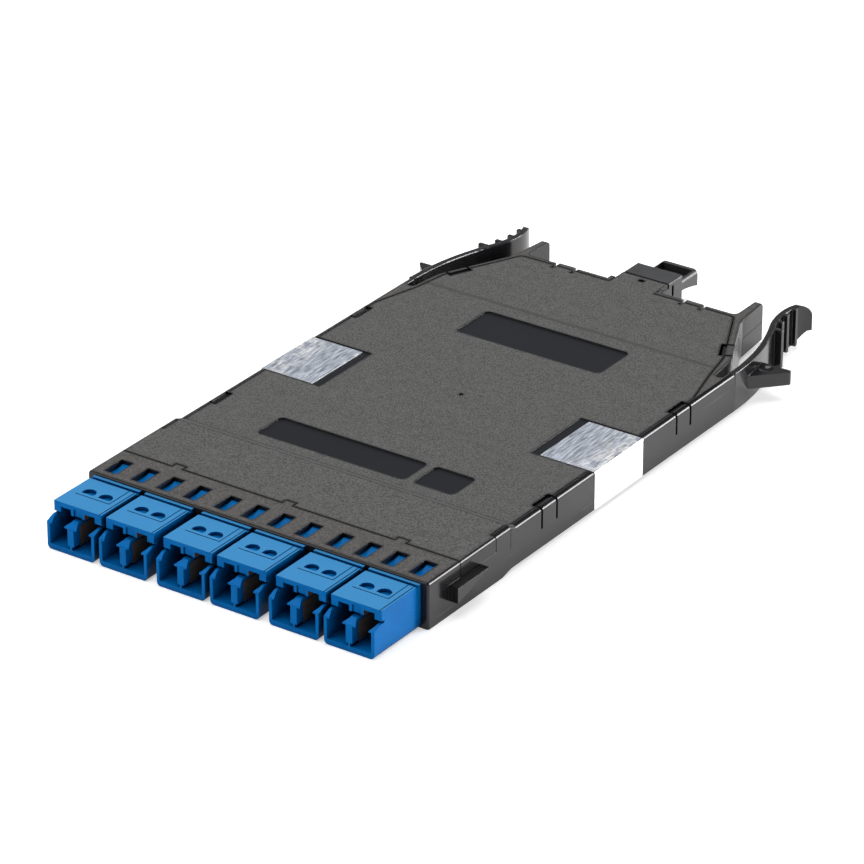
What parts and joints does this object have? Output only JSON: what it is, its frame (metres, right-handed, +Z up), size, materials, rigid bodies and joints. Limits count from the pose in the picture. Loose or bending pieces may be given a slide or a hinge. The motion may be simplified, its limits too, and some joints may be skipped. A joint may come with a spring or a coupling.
{
  "type": "fibre cassette",
  "caption": "Slim plastic fibre cassette with duplex adapters across its front, a multi-fibre adapter behind and springy release levers.",
  "frame": {"origin": "below the middle of the whole part, at the height of its underside", "axes": "+X across the cassette to its right side seen from the front, +Y from the adapters to the rear, +Z up"},
  "size_m": [0.0994, 0.1786, 0.0108],
  "materials": {
    "housing": "dark grey moulded plastic, satin sides",
    "cover": "grey moulded plastic, fine grain",
    "lever": "dark grey moulded plastic, satin",
    "adapter": "blue moulded plastic",
    "sleeve_holder": "brown-grey moulded plastic",
    "ceramic": "white zirconia ceramic",
    "plug": "light grey moulded plastic",
    "fibre_buffer": "aqua fibre coating",
    "breakout": "black moulded plastic",
    "array_ferrule": "black glass-filled moulding",
    "rear_adapter": "black moulded plastic",
    "cap": "black moulded plastic",
    "foil": "satin foil sticker, bare"
  },
  "bodies": {
    "housing": {"base_tray": "housing", "top_cover": "cover", "lc_adapter_1": "adapter", "sleeve_holders_1": "sleeve_holder", "split_sleeves_1": "ceramic", "inner_ferrules_1": "ceramic", "fibre_tails_1": "fibre_buffer", "lc_adapter_2": "adapter", "sleeve_holders_2": "sleeve_holder", "split_sleeves_2": "ceramic", "inner_ferrules_2": "ceramic", "fibre_tails_2": "fibre_buffer", "lc_adapter_3": "adapter", "sleeve_holders_3": "sleeve_holder", "split_sleeves_3": "ceramic", "inner_ferrules_3": "ceramic", "fibre_tails_3": "fibre_buffer", "lc_adapter_4": "adapter", "sleeve_holders_4": "sleeve_holder", "split_sleeves_4": "ceramic", "inner_ferrules_4": "ceramic", "fibre_tails_4": "fibre_buffer", "lc_adapter_5": "adapter", "sleeve_holders_5": "sleeve_holder", "split_sleeves_5": "ceramic", "inner_ferrules_5": "ceramic", "fibre_tails_5": "fibre_buffer", "lc_adapter_6": "adapter", "sleeve_holders_6": "sleeve_holder", "split_sleeves_6": "ceramic", "inner_ferrules_6": "ceramic", "fibre_tails_6": "fibre_buffer", "inner_plug_1": "plug", "inner_plug_2": "plug", "inner_plug_3": "plug", "inner_plug_4": "plug", "inner_plug_5": "plug", "inner_plug_6": "plug", "inner_plug_7": "plug", "inner_plug_8": "plug", "inner_plug_9": "plug", "inner_plug_10": "plug", "inner_plug_11": "plug", "inner_plug_12": "plug", "fibre_coil": "fibre_buffer", "breakout_block": "breakout", "fibre_ribbon": "fibre_buffer", "multi_plug": "plug", "array_ferrule": "array_ferrule", "multi_adapter": "rear_adapter", "dust_cap": "cap", "tamper_seal_right": "foil", "tamper_seal_left": "foil"},
    "right_lever": {"release_lever_right": "lever"},
    "left_lever": {"release_lever_left": "lever"}
  },
  "joints": [
    {"name": "right_release", "type": "hinge", "parent": "housing", "child": "right_lever", "pos_m": [0.04275, 0.0447, 0.0054], "axis": [0, 0, 1], "range_deg": [0, 5], "stiffness_Nm_per_rad": 0.02, "springref_deg": -2.86},
    {"name": "left_release", "type": "hinge", "parent": "housing", "child": "left_lever", "pos_m": [-0.04275, 0.0447, 0.0054], "axis": [0, 0, -1], "range_deg": [0, 5], "stiffness_Nm_per_rad": 0.02, "springref_deg": -2.86}
  ]
}
